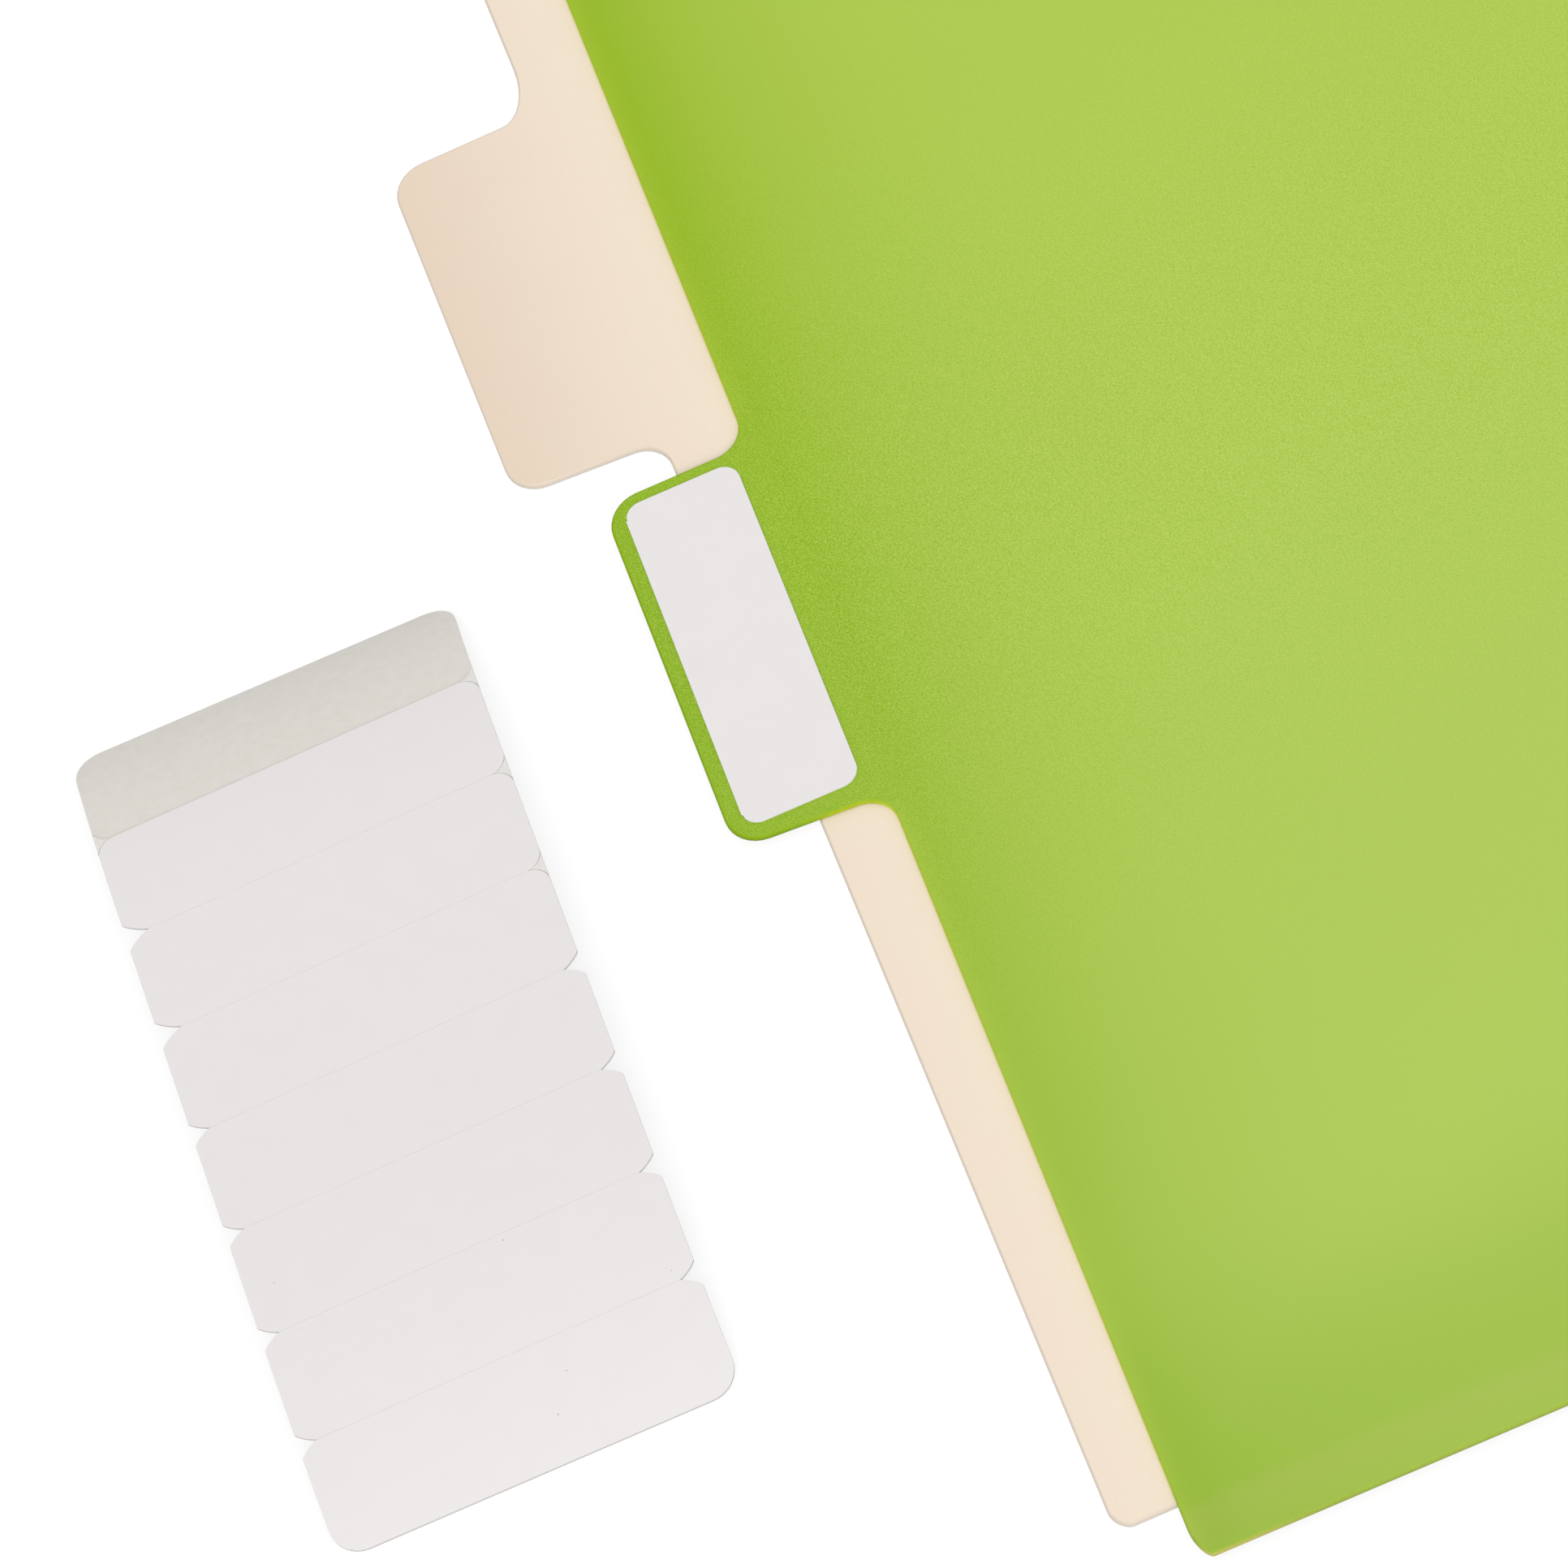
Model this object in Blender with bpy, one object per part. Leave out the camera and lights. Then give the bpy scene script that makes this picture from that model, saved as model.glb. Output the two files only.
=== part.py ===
"""Tab divider: two punched plastic leaves with index tabs, a stuck tab label and a sheet of spare labels.

Metres, +Z up. The lower leaf lies on the desk at z = 0, square to the axes, with its body centred on the
origin and its tab towards -X. The upper leaf lies on it. The label sheet lies beside the tabs on its two
ends, arched up a little between them.
"""

import math

import bmesh
import bpy
from mathutils import Matrix, Vector

MM = 0.001

# Leaves: letter size, both cut with the same tools
LEAF_LENGTH = 279.4 * MM
LEAF_WIDTH = 215.9 * MM
LEAF_THICKNESS = 0.5 * MM
LEAF_AIR = 0.05 * MM  # between the two leaves

# Index tabs: the full set has this many places along the edge
TAB_PLACES = 8
TAB_PITCH = 34.1 * MM
TAB_LENGTH = 35.1 * MM  # at its root
TAB_TAPER = 0.8 * MM  # its lower edge rises by this much towards the tip
TAB_REACH = 12.2 * MM
TAB_CORNER = 2.9 * MM
TAB_FILLET = 2.6 * MM
TAB_ROW_DROP = 0.35 * MM  # the whole row sits this much nearer the bottom end
LOWER_TAB_PLACE = 3  # counted from the bottom end, from 0
UPPER_TAB_PLACE = 2
LOWER_EDGE_STEP = 0.4 * MM  # the lower leaf is trimmed this much deeper above its tab
LOWER_FILLET_RISE = 5.0 * MM  # height of the fillet above its tab

# Leaf corners: height up the side edge and depth along the end edge
LOWER_CORNER_RISE = 1.7 * MM
LOWER_CORNER_RUN = 1.4 * MM
UPPER_CORNER_RISE = 2.6 * MM
UPPER_CORNER_RUN = 1.1 * MM
LEAF_CORNER_FULLNESS = 1.65  # 1 gives a straight cut, 2 gives a round corner

# Ring holes along the binding edge
HOLE_COUNT = 3
HOLE_DIAMETER = 8.0 * MM
HOLE_PITCH = 108.0 * MM
HOLE_MARGIN = 12.7 * MM  # hole centre to binding edge

# Where the upper leaf was put down, from the middle of the lower leaf
UPPER_SHIFT_X = 6.3 * MM
UPPER_SHIFT_Y = -6.3 * MM
UPPER_TURN = math.radians(-0.64)

# Labels
LABEL_LENGTH = 32.0 * MM
LABEL_HEIGHT = 9.45 * MM
LABEL_CORNER = 1.5 * MM  # round, where no notch is cut
LABEL_THICKNESS = 0.12 * MM
LABEL_COUNT = 7  # left on the liner, below the bare place of the one on the tab
GLUE_LINE = 0.02 * MM  # under every label

# Label sheet
CUT_WIDTH = 0.06 * MM  # between neighbouring labels
SHEET_CORNER = 2.4 * MM
LINER_THICKNESS = 0.1 * MM
SHEET_GAP = 8.18 * MM  # lower leaf's tab to the sheet
SHEET_RISE = 61.42 * MM  # lower leaf's bottom end to the middle of the sheet
SHEET_TURN = math.radians(-0.7)
WASTE_PLACES = {"left": (1,), "right": (1, 2, 3)}  # cuts, from the top, whose corner scraps are still on

# Notches in the sheet's sides, at all other cuts
NOTCH_DEPTH = 1.5 * MM
NOTCH_RISE = 1.05 * MM  # up and down the side from the cut
TORN_NOTCHES = {"left": (2, 3), "right": ()}  # cuts whose scraps took some of the labels with them
TORN_NOTCH_DEPTH = 1.95 * MM
TORN_NOTCH_RISE = 1.3 * MM
NOTCH_FULLNESS = 1.25  # 1 gives straight flanks, 2 gives round ones

# Arch of the label sheet
ARCH_HEIGHT = 2.55 * MM  # the middle of the sheet stands this far off the desk
ARCH_LEAN = 0.025  # the arch grows by this share of the way to the right
UPPER_BEND = 6  # powers with which the two halves bend down
LOWER_BEND = 4

# The upper leaf turns about its binding edge and then lies clear of the desk by this much
TURNED_CLEARANCE = 0.01 * MM

ARC_STEPS = 8
HOLE_STEPS = 32
ARCH_STEPS = 64

# Levels
UPPER_BASE = LEAF_THICKNESS + LEAF_AIR
TAB_LABEL_BASE = UPPER_BASE + LEAF_THICKNESS + GLUE_LINE
TAB_LABEL_TOP = TAB_LABEL_BASE + LABEL_THICKNESS
HINGE_HEIGHT = (TAB_LABEL_TOP + TURNED_CLEARANCE) / 2
LABEL_BASE = LINER_THICKNESS + GLUE_LINE

LABEL_PITCH = LABEL_HEIGHT + CUT_WIDTH
SHEET_LENGTH = LABEL_HEIGHT + LABEL_COUNT * LABEL_PITCH


def arc(centre, radius, start, end, steps=ARC_STEPS):
    """Points on an arc, both ends included, with angles in radians."""
    points = []
    for step in range(steps + 1):
        angle = start + (end - start) * step / steps
        points.append(centre + radius * Vector((math.cos(angle), math.sin(angle))))
    return points


def round_corner(before, corner, after, radius):
    """The arc that rounds off the corner between its two neighbours."""
    to_before = (before - corner).normalized()
    to_after = (after - corner).normalized()
    half = to_before.angle(to_after) / 2
    centre = corner + (to_before + to_after).normalized() * (radius / math.sin(half))
    first = corner + to_before * (radius / math.tan(half)) - centre
    last = corner + to_after * (radius / math.tan(half)) - centre
    start = math.atan2(first.y, first.x)
    sweep = math.atan2(first.x * last.y - first.y * last.x, first.dot(last))
    return arc(centre, radius, start, start + sweep)


def corner_curve(depth, rise, fullness):
    """A corner, as distances in from the side and in from the end, beginning on the side."""
    points = []
    for step in range(ARC_STEPS + 1):
        angle = math.pi / 2 * step / ARC_STEPS
        from_side = depth * (1 - abs(math.cos(angle)) ** (2 / fullness))
        from_end = rise * (1 - math.sin(angle) ** (2 / fullness))
        points.append(Vector((from_side, from_end)))
    return points


def leaf_corner(side_x, end_y, rise, run):
    """The corner of a leaf, from its side edge to its end edge."""
    to_middle_x = math.copysign(1, -side_x)
    to_middle_y = math.copysign(1, -end_y)
    curve = corner_curve(run, rise, LEAF_CORNER_FULLNESS)
    return [Vector((side_x + to_middle_x * p.x, end_y + to_middle_y * p.y)) for p in curve]


def tab_bottom(place):
    """The lower end of the tab in this place, at its root, from the middle of the leaf."""
    all_tabs = (TAB_PLACES - 1) * TAB_PITCH + TAB_LENGTH
    return -all_tabs / 2 + place * TAB_PITCH - TAB_ROW_DROP


def leaf_outline(place, rise, run, edge_step, fillet_rise):
    """A leaf with its tab, counter-clockwise from the tab's upper end."""
    edge = -LEAF_WIDTH / 2
    tip = edge - TAB_REACH
    low = tab_bottom(place)
    high = low + TAB_LENGTH
    below = Vector((edge, -LEAF_LENGTH / 2 + rise))
    inner_high = Vector((edge + edge_step, high))
    outer_high = Vector((tip, high))
    outer_low = Vector((tip, low + TAB_TAPER))
    inner_low = Vector((edge, low))
    points = [inner_high + Vector((-p.x, p.y)) for p in corner_curve(TAB_FILLET, fillet_rise, 2)]
    points += round_corner(inner_high, outer_high, outer_low, TAB_CORNER)
    points += round_corner(outer_high, outer_low, inner_low, TAB_CORNER)
    points += round_corner(outer_low, inner_low, below, TAB_FILLET)
    points += leaf_corner(edge, -LEAF_LENGTH / 2, rise, run)
    points += reversed(leaf_corner(-edge, -LEAF_LENGTH / 2, rise, run))
    points += leaf_corner(-edge, LEAF_LENGTH / 2, rise, run)
    points += reversed(leaf_corner(edge + edge_step, LEAF_LENGTH / 2, rise, run))
    return points


def ring_holes():
    """The ring holes' outlines, in line along the binding edge."""
    holes = []
    for index in range(HOLE_COUNT):
        y = (index - (HOLE_COUNT - 1) / 2) * HOLE_PITCH
        centre = Vector((LEAF_WIDTH / 2 - HOLE_MARGIN, y))
        holes.append(arc(centre, HOLE_DIAMETER / 2, 0, 2 * math.pi, HOLE_STEPS)[:-1])
    return holes


def cut_height(cut):
    """The middle of a cut between two places on the sheet, counted from 1 at the top."""
    return SHEET_LENGTH / 2 + CUT_WIDTH / 2 - cut * LABEL_PITCH


def corner_at(side, cut):
    """The corner that a label has at a cut: round where the scrap is still on, else shaped by the notch."""
    if cut > LABEL_COUNT:
        return corner_curve(SHEET_CORNER, SHEET_CORNER, 2)
    if cut in WASTE_PLACES[side]:
        return corner_curve(LABEL_CORNER, LABEL_CORNER, 2)
    if cut in TORN_NOTCHES[side]:
        return corner_curve(TORN_NOTCH_DEPTH, TORN_NOTCH_RISE, NOTCH_FULLNESS)
    return corner_curve(NOTCH_DEPTH, NOTCH_RISE, NOTCH_FULLNESS)


def label_outline(bottom, top, low_left, low_right, high_right, high_left):
    """A label across the sheet between two heights, counter-clockwise."""
    side = LABEL_LENGTH / 2
    points = [Vector((p.x - side, bottom + p.y)) for p in low_left]
    points += [Vector((side - p.x, bottom + p.y)) for p in reversed(low_right)]
    points += [Vector((side - p.x, top - p.y)) for p in high_right]
    points += [Vector((p.x - side, top - p.y)) for p in reversed(high_left)]
    return points


def notch(side, cut):
    """The notch in the sheet's side at a cut, from top to bottom."""
    half_cut = CUT_WIDTH / 2
    edge = LABEL_LENGTH / 2
    flank = corner_at(side, cut)
    points = [Vector((edge - p.x, cut_height(cut) + half_cut + p.y)) for p in flank]
    points += [Vector((edge - p.x, cut_height(cut) - half_cut - p.y)) for p in reversed(flank)]
    if side == "left":
        points = [Vector((-point.x, point.y)) for point in points]
    return points


def liner_outline():
    """The liner, counter-clockwise, notched wherever the corner scrap is gone."""
    side = LABEL_LENGTH / 2
    end = SHEET_LENGTH / 2
    low_left, low_right, high_right, high_left = [
        round_corner(Vector((-x, y)), Vector((x, y)), Vector((x, -y)), SHEET_CORNER)
        for x, y in ((-side, -end), (side, -end), (side, end), (-side, end))
    ]
    points = list(reversed(low_left)) + low_right
    for cut in range(LABEL_COUNT, 0, -1):
        if cut not in WASTE_PLACES["right"]:
            points += reversed(notch("right", cut))
    points += list(reversed(high_right)) + high_left
    for cut in range(1, LABEL_COUNT + 1):
        if cut not in WASTE_PLACES["left"]:
            points += notch("left", cut)
    return points


def waste_outline(side, cut):
    """A corner scrap: it fills the notch, one cut width clear of both labels."""
    reach = LABEL_CORNER + CUT_WIDTH
    edge_drop = math.acos(LABEL_CORNER / reach)
    point_rise = math.asin((LABEL_CORNER + CUT_WIDTH / 2) / reach)
    inset = LABEL_LENGTH / 2 - LABEL_CORNER
    half_span = LABEL_CORNER + CUT_WIDTH / 2
    upper = Vector((inset, cut_height(cut) + half_span))
    lower = Vector((inset, cut_height(cut) - half_span))
    points = arc(upper, reach, -edge_drop, -point_rise)
    points += arc(lower, reach, point_rise, edge_drop)[1:]
    if side == "left":
        points = [Vector((-point.x, point.y)) for point in points]
    return points


def surface(name, colour, roughness):
    """A plain finish: linear colour and roughness."""
    material = bpy.data.materials.new(name)
    material.use_nodes = True
    shader = material.node_tree.nodes["Principled BSDF"]
    shader.inputs["Base Color"].default_value = (*colour, 1)
    shader.inputs["Roughness"].default_value = roughness
    shader.inputs["Metallic"].default_value = 0
    return material


def sheet_piece(name, outlines, thickness, base, material, collection, parent=None):
    """A flat piece of the given thickness, its underside at height base in its parent's place."""
    curve = bpy.data.curves.new(name, "CURVE")
    curve.dimensions = "2D"
    curve.fill_mode = "BOTH"
    curve.extrude = thickness / 2
    for outline in outlines:
        spline = curve.splines.new("POLY")
        spline.points.add(len(outline) - 1)
        for point, place in zip(spline.points, outline):
            point.co = (place.x, place.y, 0, 1)
        spline.use_cyclic_u = True
    curve.materials.append(material)
    piece = bpy.data.objects.new(name, curve)
    piece.location.z = base + thickness / 2
    piece.parent = parent
    collection.objects.link(piece)
    return piece


def on_arch(point):
    """Where a point of the flat label sheet comes to lie: the ends bend down, most of all at their tips."""
    half = SHEET_LENGTH / 2
    share = abs(point.y) / half
    bend = UPPER_BEND if point.y > 0 else LOWER_BEND
    crown = ARCH_HEIGHT + ARCH_LEAN * point.x
    height = crown * (1 - share ** bend)
    # The bent half reaches less far by the integral of half its squared slope.
    shorter = bend ** 2 / (4 * bend - 2) * crown ** 2 / half * share ** (2 * bend - 1)
    return Vector((point.x, point.y - math.copysign(shorter, point.y), point.z + height))


def arched_piece(name, outline, thickness, base, material, collection, parent):
    """A piece of the label sheet, scored across so that it follows the arch, then made thick."""
    shape = bmesh.new()
    shape.faces.new([shape.verts.new((place.x, place.y, base)) for place in outline])
    for step in range(1, ARCH_STEPS):
        across = Vector((0, (step / ARCH_STEPS - 0.5) * SHEET_LENGTH, 0))
        everything = [*shape.verts, *shape.edges, *shape.faces]
        bmesh.ops.bisect_plane(shape, geom=everything, plane_co=across, plane_no=(0, 1, 0))
    for vert in shape.verts:
        vert.co = on_arch(vert.co)
    upper = bmesh.ops.extrude_face_region(shape, geom=shape.faces[:])["geom"]
    upper_verts = [part for part in upper if isinstance(part, bmesh.types.BMVert)]
    bmesh.ops.translate(shape, vec=(0, 0, thickness), verts=upper_verts)
    bmesh.ops.recalc_face_normals(shape, faces=shape.faces)
    mesh = bpy.data.meshes.new(name)
    shape.to_mesh(mesh)
    shape.free()
    mesh.materials.append(material)
    piece = bpy.data.objects.new(name, mesh)
    piece.parent = parent
    collection.objects.link(piece)


def place_empty(name, matrix, collection):
    """An empty that carries the pieces that move together."""
    empty = bpy.data.objects.new(name, None)
    empty.empty_display_size = TAB_REACH
    empty.matrix_world = matrix
    collection.objects.link(empty)
    return empty


def add_lower_leaf(collection):
    outline = leaf_outline(
        LOWER_TAB_PLACE, LOWER_CORNER_RISE, LOWER_CORNER_RUN, LOWER_EDGE_STEP, LOWER_FILLET_RISE
    )
    buff = surface("buff_polypropylene", (0.83, 0.69, 0.56), 0.55)
    sheet_piece("lower_leaf", [outline, *ring_holes()], LEAF_THICKNESS, 0, buff, collection)


def add_upper_leaf(collection):
    """The upper leaf and its label hang on the hinge line along the binding edge."""
    shift = Matrix.Translation((UPPER_SHIFT_X, UPPER_SHIFT_Y, HINGE_HEIGHT))
    turn = Matrix.Rotation(UPPER_TURN, 4, "Z")
    to_edge = Matrix.Translation((LEAF_WIDTH / 2, 0, 0))
    hinge = place_empty("upper_leaf_hinge", shift @ turn @ to_edge, collection)

    green = surface("green_polypropylene", (0.36, 0.54, 0.07), 0.5)
    outline = leaf_outline(UPPER_TAB_PLACE, UPPER_CORNER_RISE, UPPER_CORNER_RUN, 0, TAB_FILLET)
    base = UPPER_BASE - HINGE_HEIGHT
    leaf = sheet_piece(
        "upper_leaf", [outline, *ring_holes()], LEAF_THICKNESS, base, green, collection, hinge
    )
    leaf.location.x = -LEAF_WIDTH / 2

    white = surface("tab_label_paper", (0.8, 0.77, 0.77), 0.6)
    round_end = corner_curve(LABEL_CORNER, LABEL_CORNER, 2)
    outline = label_outline(-LABEL_HEIGHT / 2, LABEL_HEIGHT / 2, *[round_end] * 4)
    base = TAB_LABEL_BASE - HINGE_HEIGHT
    label = sheet_piece("tab_label", [outline], LABEL_THICKNESS, base, white, collection, hinge)
    label.rotation_euler.z = math.pi / 2
    label.location.x = -LEAF_WIDTH - TAB_REACH / 2
    label.location.y = tab_bottom(UPPER_TAB_PLACE) + (TAB_LENGTH + TAB_TAPER) / 2


def add_label_sheet(collection):
    """The liner with its labels and scraps, lying beside the tabs."""
    x = -(LEAF_WIDTH / 2 + TAB_REACH + SHEET_GAP + LABEL_LENGTH / 2)
    y = -LEAF_LENGTH / 2 + SHEET_RISE
    place = Matrix.Translation((x, y, 0)) @ Matrix.Rotation(SHEET_TURN, 4, "Z")
    sheet = place_empty("label_sheet", place, collection)

    glassine = surface("liner_glassine", (0.67, 0.64, 0.6), 0.45)
    arched_piece("label_liner", liner_outline(), LINER_THICKNESS, 0, glassine, collection, sheet)

    white = surface("label_paper", (0.79, 0.76, 0.75), 0.6)
    for number in range(1, LABEL_COUNT + 1):
        top = cut_height(number) - CUT_WIDTH / 2
        below = number + 1
        outline = label_outline(
            top - LABEL_HEIGHT,
            top,
            corner_at("left", below),
            corner_at("right", below),
            corner_at("right", number),
            corner_at("left", number),
        )
        arched_piece(f"label_{number}", outline, LABEL_THICKNESS, LABEL_BASE, white, collection, sheet)

    scrap = surface("scrap_paper", (0.75, 0.72, 0.68), 0.6)
    for side, cuts in WASTE_PLACES.items():
        for cut in cuts:
            name = f"waste_bit_{side}_{cut}"
            outline = waste_outline(side, cut)
            arched_piece(name, outline, LABEL_THICKNESS, LABEL_BASE, scrap, collection, sheet)


def main():
    for old in list(bpy.data.objects):
        bpy.data.objects.remove(old)
    collection = bpy.data.collections.new("tab_divider")
    bpy.context.scene.collection.children.link(collection)
    add_lower_leaf(collection)
    add_upper_leaf(collection)
    add_label_sheet(collection)


main()
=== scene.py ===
# Looks of the tab divider: two die-cut plastic leaves, a label on one tab and the sheet of spare labels.

import math

import bmesh
import bpy
from mathutils import Matrix, Vector


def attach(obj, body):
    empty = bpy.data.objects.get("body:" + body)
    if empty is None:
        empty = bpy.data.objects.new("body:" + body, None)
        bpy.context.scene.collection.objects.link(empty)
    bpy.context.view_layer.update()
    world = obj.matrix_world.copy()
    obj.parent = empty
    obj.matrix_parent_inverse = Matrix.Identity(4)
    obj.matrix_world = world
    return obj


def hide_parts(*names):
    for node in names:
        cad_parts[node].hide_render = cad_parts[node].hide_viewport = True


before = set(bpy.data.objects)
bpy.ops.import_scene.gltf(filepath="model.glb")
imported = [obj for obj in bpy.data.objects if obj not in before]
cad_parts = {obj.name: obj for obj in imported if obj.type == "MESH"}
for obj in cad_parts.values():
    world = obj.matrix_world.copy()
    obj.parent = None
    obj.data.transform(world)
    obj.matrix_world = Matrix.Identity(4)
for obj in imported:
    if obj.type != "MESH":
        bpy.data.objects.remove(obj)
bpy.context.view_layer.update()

# Sizes in metres, repeated from the part's source.
MM = 0.001
LEAF_LENGTH = 279.4 * MM
LEAF_WIDTH = 215.9 * MM
LEAF_THICKNESS = 0.5 * MM
TAB_REACH = 12.2 * MM
GREEN_BASE = 0.55 * MM
GREEN_SHIFT = (6.3 * MM, -6.3 * MM, 0)
GREEN_TURN = math.radians(-0.64)
HOLE_COUNT = 3
HOLE_DIAMETER = 8.0 * MM
HOLE_PITCH = 108.0 * MM
HOLE_MARGIN = 12.7 * MM
LABEL_LENGTH = 32.0 * MM
LABEL_HEIGHT = 9.45 * MM
LABEL_THICKNESS = 0.12 * MM
GLUE_LINE = 0.02 * MM
LABEL_COUNT = 7
LABEL_PITCH = 9.51 * MM
SHEET_LENGTH = LABEL_HEIGHT + LABEL_COUNT * LABEL_PITCH
SHEET_PLACE = (-144.33 * MM, -78.28 * MM, 0)
SHEET_TURN = math.radians(-0.7)
ARCH_HEIGHT = 2.55 * MM
ARCH_LEAN = 0.025
UPPER_BEND = 6.0
LOWER_BEND = 4.0
LABEL_BASE = 0.1 * MM
TAB_LABEL_BASE = 1.07 * MM
TAB_LABEL_PLACE = (-114.05 * MM, -51.1 * MM)

# Corners of the labels: depth along the label, height up its side, and fullness (2 is round, 1 straight).
ROUND_CORNER = (1.5 * MM, 1.5 * MM, 2.0)
NOTCHED_CORNER = (1.5 * MM, 1.05 * MM, 1.25)
TORN_CORNER = (1.95 * MM, 1.3 * MM, 1.25)
SHEET_END_CORNER = (2.4 * MM, 2.4 * MM, 2.0)
SCRAPS = {"left": (1,), "right": (1, 2, 3)}
TORN = {"left": (2, 3), "right": ()}

# The label on the tab has a fine step where its outer long edge runs past the punched corners. The edge is
# drawn in there by a share of the corner's depth.
NICK = 0.11 * MM
NICK_SHARE = 0.83

# Neighbouring labels all but meet at their cuts, as paper does under a thin blade.
CUT_SEEN = 0.012 * MM

# How far the die rolls a leaf's upper rim over, how far it cuts the foot of the wall back, how high a lip the
# punch raises round a ring hole, and how many times that height the lip stands outside the wall.
ROLL_WIDTH = 0.2 * MM
ROLL_DEPTH = 0.3 * MM
ROLL_STEPS = 4
CUT_BACK = 0.08 * MM
HOLE_LIP = 0.04 * MM
LIP_AWAY = 5.0

# Fineness of the meshes: points along and up a label, round a ring hole and round its lip. Paper is shaded
# smooth over bends of up to an angle in degrees.
LABEL_COLUMNS = 25
LABEL_ROWS = 61
HOLE_POINTS = 64
LIP_POINTS = 8
PAPER_BEND = 40

# Sizes in millimetres that the materials read: the leaf from its middle, then one for each pattern.
HALF_WIDTH = LEAF_WIDTH / MM / 2
HALF_LENGTH = LEAF_LENGTH / MM / 2
RIM_FADE = 11.5
DYE_DRIFT = 35
SAND_GRAIN = 0.074
GRAIN_REACH = 32.0
MATT_GRAIN = 0.2
PIGMENT_MOTTLE = 7
BLADE_LINES = 0.25
FIBRE_CLOUDS = 2.5
FIBRES = 0.15
SPECK_CELLS = 14
LINER_CLUMPS = 0.8
SCUFFS = 0.4

# White table, room and lamp.
TABLE_SIZE = 3.0
TABLE_DROP = 0.02 * MM
TABLE_GREY = 0.22
TABLE_GLOW = 0.81
ROOM_LIGHT = 0.69
PANEL_SIZE = 2.0
PANEL_POWER = 44.0
PANEL_PLACE = (-0.3, -2.1, 2.1)

# The photograph's viewpoint, with the lens in millimetres on a 36 mm sensor.
LENS = 202.066
SENSOR = 36.0
CAMERA_PLACE = (-86.567 * MM, -446.141 * MM, 545.956 * MM)
CAMERA_PAN = math.radians(3.464)
CAMERA_TILT = math.radians(34.688)
CAMERA_ROLL = math.radians(-26.678)


def linear(code):
    """Linear colour of an sRGB hex value."""
    channels = [int(code[i:i + 2], 16) / 255 for i in (1, 3, 5)]
    return [c / 12.92 if c <= 0.04045 else ((c + 0.055) / 1.055) ** 2.4 for c in channels] + [1.0]


def add(tree, kind, inputs=None, **settings):
    """Adds a node. Inputs go from a socket's name or number to a value or to another node's output."""
    node = tree.nodes.new(kind)
    for name, value in settings.items():
        setattr(node, name, value)
    for socket, value in (inputs or {}).items():
        if isinstance(value, bpy.types.NodeSocket):
            tree.links.new(value, node.inputs[socket])
        else:
            node.inputs[socket].default_value = value
    return node


def new_finish(name, **constants):
    """Material with one Principled shader, whose constant sockets are set directly."""
    material = bpy.data.materials.new(name)
    material.use_nodes = True
    tree = material.node_tree
    tree.nodes.clear()
    shader = add(tree, "ShaderNodeBsdfPrincipled", constants)
    add(tree, "ShaderNodeOutputMaterial", {"Surface": shader.outputs[0]})
    return material, tree, shader


def join(tree, shader, colour, height, distance):
    """Gives a shader its colour and its relief, with the relief's depth in metres."""
    bump = add(tree, "ShaderNodeBump", {"Height": height, "Distance": distance, "Strength": 1.0})
    tree.links.new(colour, shader.inputs["Base Color"])
    tree.links.new(bump.outputs[0], shader.inputs["Normal"])


def desk_place(tree):
    """Millimetres across, along and up from the middle of the buff leaf's underside."""
    place = add(tree, "ShaderNodeTexCoord").outputs["Object"]
    return add(tree, "ShaderNodeMapping", {
        "Vector": place, "Scale": (MM, MM, MM),
    }, vector_type="TEXTURE").outputs[0]


def blade_lines(tree, place):
    """Lines that the blade drags down a cut wall, drawn coarser than real ones so that they show."""
    drag = add(tree, "ShaderNodeMapping", {"Vector": place, "Scale": (1 / MM, 1 / MM, 0.1 / MM)}).outputs[0]
    return add(tree, "ShaderNodeTexNoise", {
        "Vector": drag, "Scale": 1 / BLADE_LINES, "Detail": 1.0,
    }).outputs[0]


def plainly_seen(tree):
    """1 for what the camera sees directly, in a gloss or through a clear piece, else 0."""
    path = add(tree, "ShaderNodeLightPath").outputs
    shown = add(tree, "ShaderNodeMath", {
        0: path["Is Camera Ray"], 1: path["Is Glossy Ray"],
    }, operation="MAXIMUM").outputs[0]
    return add(tree, "ShaderNodeMath", {
        0: shown, 1: path["Is Transmission Ray"],
    }, operation="MAXIMUM").outputs[0]


def green_leaf_place(tree):
    """Millimetres across and along the green leaf from its middle, and up from the desk."""
    place = add(tree, "ShaderNodeTexCoord").outputs["Object"]
    return add(tree, "ShaderNodeMapping", {
        "Vector": place, "Location": GREEN_SHIFT, "Rotation": (0, 0, GREEN_TURN), "Scale": (MM, MM, MM),
    }, vector_type="TEXTURE").outputs[0]


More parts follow.
